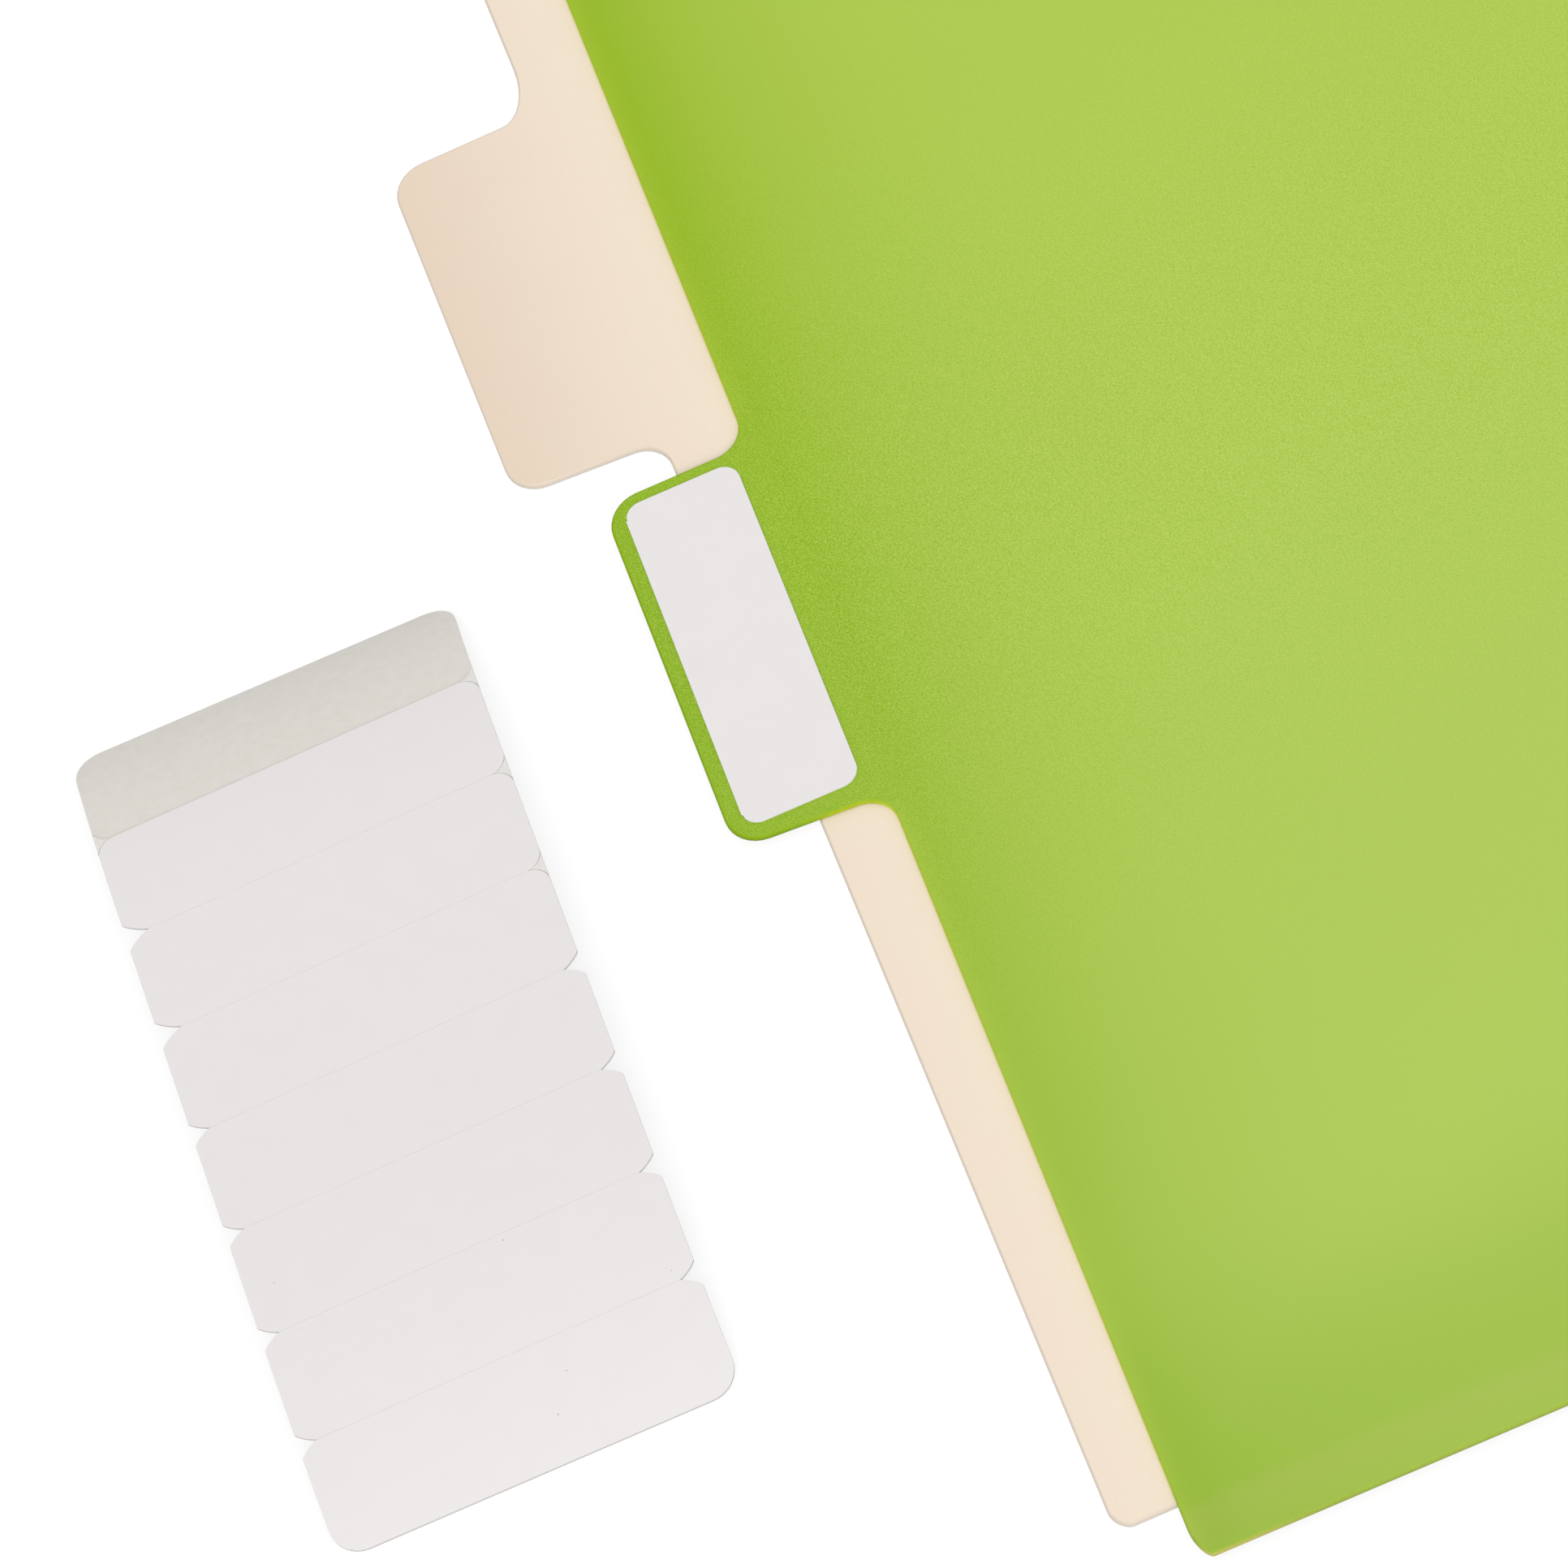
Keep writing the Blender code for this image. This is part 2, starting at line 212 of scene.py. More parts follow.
def green_dye_with_painted_light(tree, leaf):
    """Colour of the dyed sheet: pale and milky in the middle by a painted sheen, deep and clear at its edges
    and on the tab by painted shade.
    """
    across, along, _ = add(tree, "ShaderNodeSeparateXYZ", {0: leaf}).outputs

    # The painted shade of the deep rim dies away by half every 8 mm from the tab side, and a fainter one from
    # the ring holes.
    inner = add(tree, "ShaderNodeMath", {0: across, 1: HALF_WIDTH}, operation="ADD").outputs[0]
    inner = add(tree, "ShaderNodeMath", {0: inner, 1: 1.8}, operation="MAXIMUM").outputs[0]
    inner = add(tree, "ShaderNodeMath", {0: inner, 1: -RIM_FADE}, operation="DIVIDE").outputs[0]
    rim = add(tree, "ShaderNodeMath", {0: inner}, operation="EXPONENT").outputs[0]
    rim = add(tree, "ShaderNodeMath", {0: rim, 1: 1.17}, operation="MULTIPLY").outputs[0]
    outer = add(tree, "ShaderNodeMath", {0: across, 1: HALF_WIDTH}, operation="SUBTRACT").outputs[0]
    outer = add(tree, "ShaderNodeMath", {0: outer, 1: RIM_FADE}, operation="DIVIDE").outputs[0]
    outer = add(tree, "ShaderNodeMath", {0: outer}, operation="EXPONENT").outputs[0]
    rim = add(tree, "ShaderNodeMath", {0: outer, 1: 0.5, 2: rim}, operation="MULTIPLY_ADD").outputs[0]
    # The painted shade is deepest towards the upper end and on the tab.
    depth = add(tree, "ShaderNodeMapRange", {
        0: along, 1: 20 - HALF_LENGTH, 2: 130 - HALF_LENGTH, 3: 0.8, 4: 1.12,
    }).outputs[0]
    rim = add(tree, "ShaderNodeMath", {0: rim, 1: depth}, operation="MULTIPLY").outputs[0]
    tab = add(tree, "ShaderNodeMapRange", {
        0: across, 1: -HALF_WIDTH, 2: -HALF_WIDTH - 12, 3: 0.0, 4: 0.28,
    }).outputs[0]
    rim = add(tree, "ShaderNodeMath", {0: rim, 1: tab}, operation="ADD").outputs[0]
    # The lower end has a painted shaded rim too, and the two add a little at the corner.
    end = add(tree, "ShaderNodeMapRange", {
        0: along, 1: 28 - HALF_LENGTH, 2: 4.5 - HALF_LENGTH, 3: 0.0, 4: 0.66,
    }, interpolation_type="SMOOTHSTEP").outputs[0]
    fade = add(tree, "ShaderNodeMath", {0: rim, 1: end}, operation="MAXIMUM").outputs[0]
    both = add(tree, "ShaderNodeMath", {0: rim, 1: end}, operation="MINIMUM").outputs[0]
    fade = add(tree, "ShaderNodeMath", {0: both, 1: 0.55, 2: fade}, operation="MULTIPLY_ADD").outputs[0]
    # Painted light: the pale colour is the painted sheen, the deep one the painted shade.
    colour = add(tree, "ShaderNodeMix", {
        0: fade, 6: linear("#b2ce4d"), 7: linear("#99bc1c"),
    }, data_type="RGBA", clamp_factor=False).outputs[2]

    # Towards the lower end the dye is a little less yellow.
    cooler = add(tree, "ShaderNodeMapRange", {0: along, 1: 130 - HALF_LENGTH, 2: 10 - HALF_LENGTH}).outputs[0]
    colour = add(tree, "ShaderNodeMix", {
        0: cooler, 6: colour, 7: (0.0, 0.0, 0.03, 1.0),
    }, data_type="RGBA", blend_type="ADD").outputs[2]
    # Painted light: the last 4 mm are a paler, warmer band, where the table's light shows up through the
    # sheet past the leaf beneath; palest along its upper side.
    band = add(tree, "ShaderNodeMapRange", {
        0: along, 1: 4.8 - HALF_LENGTH, 2: 3.4 - HALF_LENGTH, 3: 0.0, 4: 0.05,
    }, interpolation_type="SMOOTHSTEP").outputs[0]
    paler = add(tree, "ShaderNodeMapRange", {
        0: along, 1: -HALF_LENGTH, 2: 3 - HALF_LENGTH, 3: 0.4, 4: 1.0,
    }).outputs[0]
    band = add(tree, "ShaderNodeMath", {0: band, 1: paler}, operation="MULTIPLY").outputs[0]
    colour = add(tree, "ShaderNodeMix", {
        0: band, 6: colour, 7: linear("#ffb3aa"),
    }, data_type="RGBA").outputs[2]
    # Light gathered in the sheet shows lime in the last half millimetre of that side, but not on the tab.
    glow = add(tree, "ShaderNodeMath", {0: across, 1: HALF_WIDTH}, operation="ADD").outputs[0]
    glow = add(tree, "ShaderNodeMath", {0: glow, 1: 0.0}, operation="MAXIMUM").outputs[0]
    glow = add(tree, "ShaderNodeMath", {0: glow, 1: -0.6}, operation="DIVIDE").outputs[0]
    glow = add(tree, "ShaderNodeMath", {0: glow}, operation="EXPONENT").outputs[0]
    from_tab = add(tree, "ShaderNodeMath", {
        0: along, 1: TAB_LABEL_PLACE[1] / MM,
    }, operation="SUBTRACT").outputs[0]
    from_tab = add(tree, "ShaderNodeMath", {0: from_tab}, operation="ABSOLUTE").outputs[0]
    open_side = add(tree, "ShaderNodeMapRange", {0: from_tab, 1: 18.5, 2: 21.0, 3: 0.0, 4: 0.24}).outputs[0]
    glow = add(tree, "ShaderNodeMath", {0: glow, 1: open_side}, operation="MULTIPLY").outputs[0]
    colour = add(tree, "ShaderNodeMix", {
        0: glow, 6: colour, 7: linear("#cbda4f"),
    }, data_type="RGBA").outputs[2]
    # Slow drift of the dye from one patch to the next.
    drift = add(tree, "ShaderNodeTexNoise", {
        "Vector": leaf, "Scale": 1 / DYE_DRIFT, "Detail": 2.0,
    }).outputs[0]
    drift = add(tree, "ShaderNodeMapRange", {0: drift, 1: 0.3, 2: 0.7, 3: 0.99, 4: 1.01}).outputs[0]
    return add(tree, "ShaderNodeMix", {
        0: 1.0, 6: colour, 7: drift,
    }, data_type="RGBA", blend_type="MULTIPLY").outputs[2]


def green_sheet_finish():
    """Dyed polypropylene sheet, rolled against a sand-grain cylinder.

    The grain's fine sparkle is a painted highlight on its crests, and the sheen is soft. A little light
    passes through, so what lies beneath shows faintly.
    """
    material, tree, shader = new_finish(
        "polypropylene_green_sand_grain",
        **{"Roughness": 0.5, "IOR": 1.49, "Specular IOR Level": 0.35, "Transmission Weight": 0.04},
    )
    leaf = green_leaf_place(tree)
    along = add(tree, "ShaderNodeSeparateXYZ", {0: leaf}).outputs[1]

    # Sand grain, drawn out twofold across the leaf. It is boldest 90 mm up the leaf, by the two tabs.
    slant = add(tree, "ShaderNodeMapping", {
        "Vector": leaf, "Rotation": (0, 0, math.radians(5)), "Scale": (2.0, 1.0, 1.0),
    }, vector_type="TEXTURE").outputs[0]
    grain = add(tree, "ShaderNodeTexNoise", {
        "Vector": slant, "Scale": 1 / SAND_GRAIN, "Detail": 1.0,
    }).outputs[0]
    away = add(tree, "ShaderNodeMath", {0: along, 1: 90 - HALF_LENGTH}, operation="SUBTRACT").outputs[0]
    away = add(tree, "ShaderNodeMath", {0: away, 1: GRAIN_REACH}, operation="DIVIDE").outputs[0]
    away = add(tree, "ShaderNodeMath", {0: away, 1: away}, operation="MULTIPLY").outputs[0]
    away = add(tree, "ShaderNodeMath", {0: away, 1: -1.0}, operation="MULTIPLY").outputs[0]
    bold = add(tree, "ShaderNodeMath", {0: away}, operation="EXPONENT").outputs[0]
    bold = add(tree, "ShaderNodeMapRange", {0: bold, 3: 0.03, 4: 0.95}).outputs[0]
    # Painted highlight: the grain's crests are painted paler, towards a pale yellow-white, for its fine
    # sparkle.
    crests = add(tree, "ShaderNodeMath", {0: grain, 1: 0.5}, operation="SUBTRACT").outputs[0]
    crests = add(tree, "ShaderNodeMath", {0: crests, 1: bold}, operation="MULTIPLY").outputs[0]
    colour = add(tree, "ShaderNodeMix", {
        0: crests, 6: green_dye_with_painted_light(tree, leaf), 7: linear("#f9ff9f"),
    }, data_type="RGBA", clamp_factor=False).outputs[2]
    join(tree, shader, colour, grain, 0.015 * MM)
    return material


def green_edge_finish():
    """Cut wall of the green sheet with fine blade drag lines, painted a little deeper in colour than the face
    as painted shade.

    Over the pale buff leaf its foot is painted lime as a painted glow, and a painted tan highlight sits at
    the lower corner.
    """
    material, tree, shader = new_finish(
        "polypropylene_green_die_cut", **{"Roughness": 0.6, "IOR": 1.49, "Specular IOR Level": 0.12},
    )
    place = add(tree, "ShaderNodeTexCoord").outputs["Object"]
    across, along, up = add(tree, "ShaderNodeSeparateXYZ", {0: place}).outputs
    foot = add(tree, "ShaderNodeMapRange", {
        0: up, 1: GREEN_BASE + LEAF_THICKNESS, 2: GREEN_BASE + 0.2 * MM,
    }).outputs[0]
    inside = add(tree, "ShaderNodeMapRange", {
        0: across, 1: -LEAF_WIDTH / 2 - 1.5 * MM, 2: -LEAF_WIDTH / 2 + 1 * MM,
    }).outputs[0]
    above = add(tree, "ShaderNodeMapRange", {
        0: along, 1: -LEAF_LENGTH / 2 - 0.5 * MM, 2: -LEAF_LENGTH / 2 + 1.5 * MM,
    }).outputs[0]
    over_buff = add(tree, "ShaderNodeMath", {0: inside, 1: above}, operation="MULTIPLY").outputs[0]
    leaf = green_leaf_place(tree)
    leaf_across, leaf_along, _ = add(tree, "ShaderNodeSeparateXYZ", {0: leaf}).outputs
    on_tab = add(tree, "ShaderNodeMapRange", {
        0: leaf_across, 1: -HALF_WIDTH - 0.2, 2: -HALF_WIDTH - 1.2,
    }).outputs[0]

    # Painted shade: the wall is painted a little darker than the face, varied by the blade's drag lines.
    lines = blade_lines(tree, place)
    dark = add(tree, "ShaderNodeMapRange", {0: lines, 1: 0.3, 2: 0.7, 3: 0.87, 4: 0.95}).outputs[0]
    turned = add(tree, "ShaderNodeMapRange", {
        0: up, 1: GREEN_BASE + LEAF_THICKNESS, 2: GREEN_BASE + LEAF_THICKNESS - 0.012 * MM,
    }).outputs[0]
    wall = add(tree, "ShaderNodeMix", {
        0: turned, 6: green_dye_with_painted_light(tree, leaf), 7: dark,
    }, data_type="RGBA", blend_type="MULTIPLY").outputs[2]

    # Painted highlight: tan near the lower corner, where the edge catches the light.
    near = add(tree, "ShaderNodeMapRange", {
        0: leaf_across, 1: -HALF_WIDTH, 2: 10 - HALF_WIDTH, 3: 1.5, 4: 0.25,
    }).outputs[0]
    low = add(tree, "ShaderNodeMapRange", {
        0: leaf_along, 1: 1.6 - HALF_LENGTH, 2: 0.5 - HALF_LENGTH,
    }).outputs[0]
    low = add(tree, "ShaderNodeMath", {0: low, 1: near}, operation="MULTIPLY").outputs[0]
    low = add(tree, "ShaderNodeMath", {0: low, 1: foot}, operation="MULTIPLY").outputs[0]
    wall = add(tree, "ShaderNodeMix", {0: low, 6: wall, 7: linear("#d6cc70")}, data_type="RGBA").outputs[2]

    # Painted glow: over the buff leaf the foot of the wall is painted lime, deeper on the tab.
    lime = add(tree, "ShaderNodeMix", {
        0: on_tab, 6: linear("#d6e04a"), 7: linear("#b2c01c"),
    }, data_type="RGBA").outputs[2]
    shine = add(tree, "ShaderNodeMath", {0: over_buff, 1: foot}, operation="MULTIPLY").outputs[0]
    colour = add(tree, "ShaderNodeMix", {0: shine, 6: wall, 7: lime}, data_type="RGBA").outputs[2]
    join(tree, shader, colour, lines, 0.01 * MM)
    return material


def buff_sheet_finish():
    """Opaque buff polypropylene sheet with a fine matt roll finish: soft, even, with a faint warm mottle."""
    material, tree, shader = new_finish("polypropylene_buff_matt", **{"Roughness": 0.6, "IOR": 1.49})
    leaf = desk_place(tree)
    across = add(tree, "ShaderNodeSeparateXYZ", {0: leaf}).outputs[0]
    # Painted shade: the tab is painted a little darker and duller towards its outer end.
    inward = add(tree, "ShaderNodeMapRange", {
        0: across, 1: -(LEAF_WIDTH / 2 + TAB_REACH) / MM, 2: -HALF_WIDTH + 4,
    }).outputs[0]
    colour = add(tree, "ShaderNodeMix", {
        0: inward, 6: linear("#e7d6c6"), 7: linear("#f2e5d7"),
    }, data_type="RGBA").outputs[2]
    # Mottle of the pigment in patches, pinker and yellower by turns.
    mottle = add(tree, "ShaderNodeTexNoise", {
        "Vector": leaf, "Scale": 1 / PIGMENT_MOTTLE, "Detail": 3.0,
    }).outputs[0]
    tint = add(tree, "ShaderNodeMix", {
        0: mottle, 6: linear("#fffaf6"), 7: linear("#fffef4"),
    }, data_type="RGBA").outputs[2]
    colour = add(tree, "ShaderNodeMix", {
        0: 1.0, 6: colour, 7: tint,
    }, data_type="RGBA", blend_type="MULTIPLY").outputs[2]
    # Matt roll grain.
    grain = add(tree, "ShaderNodeTexNoise", {
        "Vector": leaf, "Scale": 1 / MATT_GRAIN, "Detail": 1.0,
    }).outputs[0]
    shade = add(tree, "ShaderNodeMapRange", {0: grain, 1: 0.3, 2: 0.7, 3: 0.985, 4: 1.0}).outputs[0]
    colour = add(tree, "ShaderNodeMix", {
        0: 1.0, 6: colour, 7: shade,
    }, data_type="RGBA", blend_type="MULTIPLY").outputs[2]
    join(tree, shader, colour, grain, 0.006 * MM)
    return material


def buff_edge_finish():
    """Cut wall of the buff sheet with fine blade drag lines, as pale as the face for the light inside."""
    material, tree, shader = new_finish("polypropylene_buff_die_cut", **{"Roughness": 0.5, "IOR": 1.49})
    place = add(tree, "ShaderNodeTexCoord").outputs["Object"]
    lines = blade_lines(tree, place)
    pale = add(tree, "ShaderNodeMix", {
        0: lines, 6: linear("#f8ecda"), 7: linear("#fef5e7"),
    }, data_type="RGBA").outputs[2]
    up = add(tree, "ShaderNodeSeparateXYZ", {0: place}).outputs[2]
    foot = add(tree, "ShaderNodeMapRange", {0: up, 1: LEAF_THICKNESS - 0.1 * MM, 2: 0.1 * MM}).outputs[0]
    colour = add(tree, "ShaderNodeMix", {
        0: foot, 6: linear("#e2d2c0"), 7: pale,
    }, data_type="RGBA").outputs[2]
    join(tree, shader, colour, lines, 0.01 * MM)
    return material


def label_paper_finish(name, dull, bright):
    """White matt-coated label paper: flat and bright, its fibres faintly cloudy under the coat."""
    material, tree, shader = new_finish(name, **{"Roughness": 0.8, "IOR": 1.4})
    sheet = desk_place(tree)
    # Clouds of fibre, and single fibres in the relief, drawn coarser than real ones so that they show.
    clouds = add(tree, "ShaderNodeTexNoise", {
        "Vector": sheet, "Scale": 1 / FIBRE_CLOUDS, "Detail": 4.0,
    }).outputs[0]
    fibres = add(tree, "ShaderNodeTexNoise", {"Vector": sheet, "Scale": 1 / FIBRES, "Detail": 2.0}).outputs[0]
    colour = add(tree, "ShaderNodeMix", {
        0: clouds, 6: linear(dull), 7: linear(bright),
    }, data_type="RGBA").outputs[2]
    # Odd grey fibre ends of 0.15 mm, in about half of the cells.
    cells = add(tree, "ShaderNodeTexVoronoi", {
        "Vector": sheet, "Scale": 1 / SPECK_CELLS,
    }, voronoi_dimensions="2D").outputs
    speck = add(tree, "ShaderNodeMapRange", {
        0: cells["Distance"], 1: 0.075 / SPECK_CELLS, 2: 0.05 / SPECK_CELLS,
    }).outputs[0]
    chance = add(tree, "ShaderNodeSeparateXYZ", {0: cells["Color"]}).outputs[0]
    chance = add(tree, "ShaderNodeMapRange", {0: chance, 1: 0.4, 2: 0.8, 3: 0.0, 4: 0.6}).outputs[0]
    speck = add(tree, "ShaderNodeMath", {0: speck, 1: chance}, operation="MULTIPLY").outputs[0]
    colour = add(tree, "ShaderNodeMix", {
        0: speck, 6: colour, 7: linear("#8f8a88"),
    }, data_type="RGBA").outputs[2]
    join(tree, shader, colour, fibres, 0.004 * MM)
    return material


def liner_finish():
    """Glassine release liner, supercalendered and siliconed: greyish beige, cloudy, with a soft sheen."""
    material, tree, shader = new_finish("glassine_siliconed", **{"Roughness": 0.45, "IOR": 1.41})
    sheet = desk_place(tree)
    # Cloudy clumps of fibre.
    clouds = add(tree, "ShaderNodeTexNoise", {
        "Vector": sheet, "Scale": 1 / LINER_CLUMPS, "Detail": 5.0,
    }).outputs[0]
    dense = add(tree, "ShaderNodeMapRange", {0: clouds, 1: 0.25, 2: 0.75}).outputs[0]
    colour = add(tree, "ShaderNodeMix", {
        0: dense, 6: linear("#dad6ce"), 7: linear("#e0dcd5"),
    }, data_type="RGBA").outputs[2]
    join(tree, shader, colour, clouds, 0.004 * MM)
    return material


def scrap_finish():
    """Label stock left between two round corners, scuffed by the die, so a little greyer than the labels."""
    material, tree, shader = new_finish("label_paper_offcut", **{"Roughness": 0.85, "IOR": 1.4})
    sheet = desk_place(tree)
    scuffs = add(tree, "ShaderNodeTexNoise", {"Vector": sheet, "Scale": 1 / SCUFFS, "Detail": 3.0}).outputs[0]
    colour = add(tree, "ShaderNodeMix", {
        0: scuffs, 6: linear("#dbd7d1"), 7: linear("#ebe8e4"),
    }, data_type="RGBA").outputs[2]
    join(tree, shader, colour, scuffs, 0.005 * MM)
    return material


def outline_rings(node):
    """Rings of points round the upper face of a flat CAD sheet, each with the sheet on its left."""
    cad = bmesh.new()
    cad.from_mesh(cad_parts[node].data)
    bmesh.ops.remove_doubles(cad, verts=cad.verts, dist=1e-6)
    upper = [face for face in cad.faces if face.normal.z > 0.9]
    kept = set(upper)
    following = {}
    for face in upper:
        for loop in face.loops:
            if sum(other in kept for other in loop.edge.link_faces) == 1:
                following[loop.vert] = loop.link_loop_next.vert
    rings = []
    while following:
        corner = next(iter(following))
        ring = []
        while corner in following:
            ring.append(corner.co.to_2d())
            corner = following.pop(corner)
        rings.append(ring)
    cad.free()
    return rings


def drawn_in(ring, width):
    """The ring moved towards the sheet by a width."""
    moved = []
    for i, point in enumerate(ring):
        before = (point - ring[i - 1]).normalized()
        after = (ring[(i + 1) % len(ring)] - point).normalized()
        first = Vector((-before.y, before.x))
        middle = (first + Vector((-after.y, after.x))).normalized()
        moved.append(point + middle * (width / max(middle.dot(first), 0.5)))
    return moved


def die_cut_leaf(name, node, base, face_finish, edge_finish):
    """A leaf cut from sheet: square wall, rolled upper rim and a foot that is cut back a little."""
    top = base + LEAF_THICKNESS
    # Width drawn in from the CAD outline and height, from the underside to the upper face.
    profile = [(CUT_BACK, base), (0.0, base + CUT_BACK), (0.0, top - ROLL_DEPTH)]
    for step in range(1, ROLL_STEPS + 1):
        angle = math.radians(90 * step / ROLL_STEPS)
        profile.append((ROLL_WIDTH * (1 - math.cos(angle)), top - ROLL_DEPTH * (1 - math.sin(angle))))
    rings = outline_rings(node)
    bm = bmesh.new()
    levels = []
    for width, height in profile:
        levels.append([[bm.verts.new((p.x, p.y, height)) for p in drawn_in(ring, width)] for ring in rings])
    for lower, upper in zip(levels, levels[1:]):
        for below, above in zip(lower, upper):
            for i in range(len(below)):
                wall = bm.faces.new((below[i - 1], below[i], above[i], above[i - 1]))
                wall.material_index = 1
                wall.smooth = True
    for level, facing in ((levels[0], -1), (levels[-1], 1)):
        rim = [bm.edges.get((ring[i - 1], ring[i])) for ring in level for i in range(len(ring))]
        for edge in rim:
            edge.smooth = False
        bmesh.ops.triangle_fill(bm, edges=rim, normal=(0, 0, facing), use_beauty=True)
    mesh = bpy.data.meshes.new(name)
    bm.to_mesh(mesh)
    bm.free()
    mesh.materials.append(face_finish)
    mesh.materials.append(edge_finish)
    leaf = bpy.data.objects.new(name, mesh)
    bpy.context.collection.objects.link(leaf)
    return leaf


def label_tree():
    """Geometry Nodes for one kiss-cut label: a blank with four shaped corners, bent to its sheet's arch."""
    tree = bpy.data.node_groups.new("kiss_cut_label", "GeometryNodeTree")
    tree.interface.new_socket("Geometry", in_out="INPUT", socket_type="NodeSocketGeometry")
    lengths = ("Length", "Height", "Thickness", "Nick", "Along", "Half Sheet", "Arch")
    for size in (*lengths, "Lean", "Upper Bend", "Lower Bend"):
        tree.interface.new_socket(size, in_out="INPUT", socket_type="NodeSocketFloat")
    for corner in ("Low Left", "Low Right", "High Left", "High Right"):
        tree.interface.new_socket(corner, in_out="INPUT", socket_type="NodeSocketVector")
    tree.interface.new_socket("Paper", in_out="INPUT", socket_type="NodeSocketMaterial")
    tree.interface.new_socket("Geometry", in_out="OUTPUT", socket_type="NodeSocketGeometry")
    given = add(tree, "NodeGroupInput").outputs
    half_height = add(tree, "ShaderNodeMath", {0: given["Height"], 1: 0.5}, operation="MULTIPLY").outputs[0]
    half_length = add(tree, "ShaderNodeMath", {0: given["Length"], 1: 0.5}, operation="MULTIPLY").outputs[0]
    grid = add(tree, "GeometryNodeMeshGrid", {
        "Size X": given["Length"], "Size Y": given["Height"],
        "Vertices X": LABEL_COLUMNS, "Vertices Y": LABEL_ROWS,
    }).outputs[0]
    flat = add(tree, "ShaderNodeSeparateXYZ", {0: add(tree, "GeometryNodeInputPosition").outputs[0]}).outputs

    # Rows crowd towards the two long edges, where the corners are.
    row = add(tree, "ShaderNodeMath", {0: flat[1], 1: half_height}, operation="DIVIDE").outputs[0]
    row = add(tree, "ShaderNodeMath", {0: row, 1: math.pi / 2}, operation="MULTIPLY").outputs[0]
    row = add(tree, "ShaderNodeMath", {0: row}, operation="SINE").outputs[0]
    row = add(tree, "ShaderNodeMath", {0: row, 1: half_height}, operation="MULTIPLY").outputs[0]

    # Each half row takes the shape of its own corner: depth, rise and fullness.
    is_right = add(tree, "ShaderNodeMath", {0: flat[0], 1: 0.0}, operation="GREATER_THAN").outputs[0]
    is_high = add(tree, "ShaderNodeMath", {0: flat[1], 1: 0.0}, operation="GREATER_THAN").outputs[0]
    low = add(tree, "ShaderNodeMix", {
        0: is_right, 4: given["Low Left"], 5: given["Low Right"],
    }, data_type="VECTOR").outputs[1]
    high = add(tree, "ShaderNodeMix", {
        0: is_right, 4: given["High Left"], 5: given["High Right"],
    }, data_type="VECTOR").outputs[1]
    corner = add(tree, "ShaderNodeMix", {0: is_high, 4: low, 5: high}, data_type="VECTOR").outputs[1]
    depth, rise, fullness = add(tree, "ShaderNodeSeparateXYZ", {0: corner}).outputs
    past = add(tree, "ShaderNodeMath", {0: row}, operation="ABSOLUTE").outputs[0]
    past = add(tree, "ShaderNodeMath", {0: past, 1: half_height}, operation="SUBTRACT").outputs[0]
    past = add(tree, "ShaderNodeMath", {0: past, 1: rise}, operation="ADD").outputs[0]
    past = add(tree, "ShaderNodeMath", {0: past, 1: rise}, operation="DIVIDE", use_clamp=True).outputs[0]
    past = add(tree, "ShaderNodeMath", {0: past, 1: fullness}, operation="POWER").outputs[0]
    kept = add(tree, "ShaderNodeMath", {0: 1.0, 1: past}, operation="SUBTRACT", use_clamp=True).outputs[0]
    root = add(tree, "ShaderNodeMath", {0: 1.0, 1: fullness}, operation="DIVIDE").outputs[0]
    kept = add(tree, "ShaderNodeMath", {0: kept, 1: root}, operation="POWER").outputs[0]
    drawn = add(tree, "ShaderNodeMath", {0: 1.0, 1: kept}, operation="SUBTRACT").outputs[0]
    drawn = add(tree, "ShaderNodeMath", {0: drawn, 1: depth}, operation="MULTIPLY").outputs[0]
    # A nick at each end of the upper long edge, where that edge stands a little past its round corners.
    step = add(tree, "ShaderNodeMath", {0: half_height, 1: given["Nick"]}, operation="SUBTRACT").outputs[0]
    past_step = add(tree, "ShaderNodeMath", {0: row, 1: step}, operation="GREATER_THAN").outputs[0]
    shoulder = add(tree, "ShaderNodeMath", {0: depth, 1: NICK_SHARE}, operation="MULTIPLY").outputs[0]
    drawn = add(tree, "ShaderNodeMix", {0: past_step, 2: drawn, 3: shoulder}).outputs[0]
    share = add(tree, "ShaderNodeMath", {0: drawn, 1: half_length}, operation="DIVIDE").outputs[0]
    share = add(tree, "ShaderNodeMath", {0: 1.0, 1: share}, operation="SUBTRACT").outputs[0]
    across = add(tree, "ShaderNodeMath", {0: flat[0], 1: share}, operation="MULTIPLY").outputs[0]
    place = add(tree, "ShaderNodeCombineXYZ", {0: across, 1: row}).outputs[0]
    blank = add(tree, "GeometryNodeSetPosition", {"Geometry": grid, "Position": place}).outputs[0]

    # Thickness upwards from the glue face.
    upward = add(tree, "GeometryNodeExtrudeMesh", {
        "Mesh": blank, "Offset": (0, 0, 1), "Offset Scale": given["Thickness"], "Individual": False,
    }, mode="FACES").outputs[0]
    glue_face = add(tree, "GeometryNodeFlipFaces", {"Mesh": blank}).outputs[0]
    both = add(tree, "GeometryNodeJoinGeometry")
    tree.links.new(upward, both.inputs[0])
    tree.links.new(glue_face, both.inputs[0])
    closed = add(tree, "GeometryNodeMergeByDistance", {
        "Geometry": both.outputs[0], "Distance": 1e-6,
    }).outputs[0]

